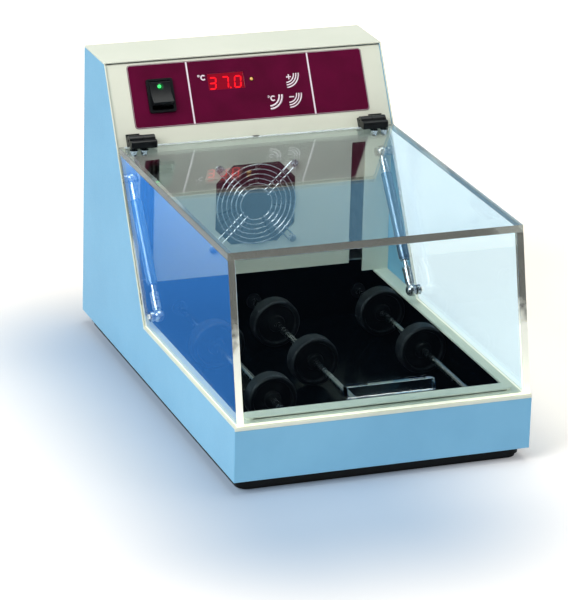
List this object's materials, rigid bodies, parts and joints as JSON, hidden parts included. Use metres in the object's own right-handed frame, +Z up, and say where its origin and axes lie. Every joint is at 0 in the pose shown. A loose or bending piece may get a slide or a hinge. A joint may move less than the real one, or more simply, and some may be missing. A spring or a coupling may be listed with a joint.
{
  "type": "hybridization oven",
  "caption": "Bench-top hybridization oven with bottle rollers in a heated chamber under a clear hinged lid on gas struts, and a sloping control tower with fan.",
  "frame": {"origin": "on the bench, under the middle of the oven's box", "axes": "+X to the user's right, +Y from the lid's front to the rear panel, +Z up"},
  "size_m": [0.265, 0.4334, 0.2665],
  "materials": {
    "black_powder_coat": "satin black powder coat",
    "rubber_foot": "matt",
    "blue_enamel": "light blue enamel, semi-gloss",
    "cream_enamel": "pale cream enamel, semi-gloss",
    "plated_steel": "bright zinc plate",
    "black_enamel": "gloss black enamel",
    "printed_film": "maroon back-printed polyester film",
    "key_film": "maroon domed film",
    "display_window": "dark red filter window",
    "amber_lens": "amber lens",
    "black_moulding": "fine texture",
    "circuit_board": "green solder mask",
    "transformer_core": "varnished laminations",
    "chrome_wire": "bright",
    "heater_sheath": "oxidised",
    "galvanised_sheet": "galvanised",
    "ground_steel": "ground",
    "wheel_rubber": "matt black rubber",
    "turned_aluminium": "turned",
    "belt_rubber": "matt",
    "clear_acrylic": "clear cast acrylic, polished edges",
    "magnet_ferrite": "dark grey ferrite",
    "black_nylon": "black moulded nylon",
    "chrome_nut": "bright",
    "strut_paint": "grey-blue paint"
  },
  "bodies": {
    "casing": {"base_pan": "black_powder_coat", "feet": "rubber_foot", "left_side_panel": "blue_enamel", "right_side_panel": "blue_enamel", "front_panel": "blue_enamel", "chamber_top_frame": "cream_enamel", "tower_roof": "cream_enamel", "fascia_panel": "cream_enamel", "rear_panel": "cream_enamel", "panel_screws": "plated_steel", "chamber_tray": "black_enamel", "chamber_rear_wall": "cream_enamel", "control_overlay": "printed_film", "display_module": "display_window", "status_light": "amber_lens", "switch_bezel": "black_moulding", "control_board": "circuit_board", "transformer": "transformer_core", "mains_inlet": "black_moulding", "fan_frame": "black_moulding", "finger_guard": "chrome_wire", "heater_coil": "heater_sheath", "air_duct": "galvanised_sheet", "temperature_probe": "plated_steel", "shaft_bushes": "black_nylon", "drive_belt": "belt_rubber", "gearmotor": "plated_steel", "tower_hinge_leaves": "black_nylon", "hinge_pins": "ground_steel", "upper_ball_studs": "plated_steel"},
    "lid": {"lid_top_panel": "clear_acrylic", "lid_front_panel": "clear_acrylic", "lid_left_panel": "clear_acrylic", "lid_right_panel": "clear_acrylic", "lid_handle": "clear_acrylic", "lid_magnet": "magnet_ferrite", "lid_hinge_leaves": "black_nylon", "hinge_cap_nuts": "chrome_nut", "lower_ball_studs": "plated_steel"},
    "left_strut_tube": {"left_strut_cylinder": "strut_paint", "left_cylinder_socket": "plated_steel"},
    "right_strut_tube": {"right_strut_cylinder": "strut_paint", "right_cylinder_socket": "plated_steel"},
    "left_strut_piston": {"left_strut_rod": "chrome_wire", "left_rod_socket": "plated_steel"},
    "right_strut_piston": {"right_strut_rod": "chrome_wire", "right_rod_socket": "plated_steel"},
    "left_roller": {"left_shaft": "ground_steel", "left_wheels": "wheel_rubber"},
    "centre_roller": {"centre_shaft": "ground_steel", "centre_wheels": "wheel_rubber", "shaft_pulley": "turned_aluminium"},
    "right_roller": {"right_shaft": "ground_steel", "right_wheels": "wheel_rubber"},
    "motor_drive": {"motor_pulley": "turned_aluminium"},
    "fan_rotor": {"fan_impeller": "black_moulding"},
    "rocker": {"switch_rocker": "black_moulding"},
    "plus_button": {"plus_key": "key_film"},
    "minus_button": {"minus_key": "key_film"},
    "temperature_button": {"temperature_key": "key_film"}
  },
  "joints": [
    {"name": "lid_hinge", "type": "hinge", "parent": "casing", "child": "lid", "pos_m": [0, 0.11301, 0.2055], "axis": [-1, 0, 0], "range_deg": [0, 70]},
    {"name": "left_strut_swing", "type": "hinge", "parent": "casing", "child": "left_strut_tube", "pos_m": [-0.117, 0.10473, 0.1735], "axis": [-1, 0, 0], "range_deg": [0, 76.88]},
    {"name": "left_strut_slide", "type": "slide", "parent": "left_strut_tube", "child": "left_strut_piston", "axis": [0, -0.6257, -0.7801], "range_m": [0, 0.03384]},
    {"name": "right_strut_swing", "type": "hinge", "parent": "casing", "child": "right_strut_tube", "pos_m": [0.117, 0.10473, 0.1735], "axis": [-1, 0, 0], "range_deg": [0, 76.88]},
    {"name": "right_strut_slide", "type": "slide", "parent": "right_strut_tube", "child": "right_strut_piston", "axis": [0, -0.6257, -0.7801], "range_m": [0, 0.03384]},
    {"name": "left_roller_spin", "type": "hinge", "parent": "casing", "child": "left_roller", "pos_m": [-0.066, -0.03428, 0.0415], "axis": [0, 1, 0], "continuous": true},
    {"name": "centre_roller_spin", "type": "hinge", "parent": "casing", "child": "centre_roller", "pos_m": [0, -0.03428, 0.0415], "axis": [0, 1, 0], "continuous": true},
    {"name": "right_roller_spin", "type": "hinge", "parent": "casing", "child": "right_roller", "pos_m": [0.102, -0.03428, 0.0415], "axis": [0, 1, 0], "continuous": true},
    {"name": "motor_spin", "type": "hinge", "parent": "casing", "child": "motor_drive", "pos_m": [-0.048, 0.13372, 0.0415], "axis": [0, 1, 0], "continuous": true},
    {"name": "fan_spin", "type": "hinge", "parent": "casing", "child": "fan_rotor", "pos_m": [0, 0.12772, 0.1312], "axis": [0, 1, 0], "continuous": true},
    {"name": "power_rocker", "type": "hinge", "parent": "casing", "child": "rocker", "pos_m": [-0.0842, 0.14255, 0.23419], "axis": [1, 0, 0], "range_deg": [0, 24]},
    {"name": "plus_press", "type": "slide", "parent": "casing", "child": "plus_button", "axis": [0, 0.8604, -0.5096], "range_m": [0, 0.0004], "stiffness_N_per_m": 2000, "springref_m": -0.0002},
    {"name": "minus_press", "type": "slide", "parent": "casing", "child": "minus_button", "axis": [0, 0.8604, -0.5096], "range_m": [0, 0.0004], "stiffness_N_per_m": 2000, "springref_m": -0.0002},
    {"name": "temperature_press", "type": "slide", "parent": "casing", "child": "temperature_button", "axis": [0, 0.8604, -0.5096], "range_m": [0, 0.0004], "stiffness_N_per_m": 2000, "springref_m": -0.0002}
  ],
  "couplings": [
    {"joint": "left_strut_swing", "follows": "lid_hinge", "ratio": 1.0975},
    {"joint": "right_strut_swing", "follows": "lid_hinge", "ratio": 1.0975},
    {"joint": "left_strut_slide", "follows": "lid_hinge", "m_per_rad": 0.027613},
    {"joint": "right_strut_slide", "follows": "lid_hinge", "m_per_rad": 0.027613},
    {"joint": "motor_spin", "follows": "centre_roller_spin", "ratio": 1}
  ]
}
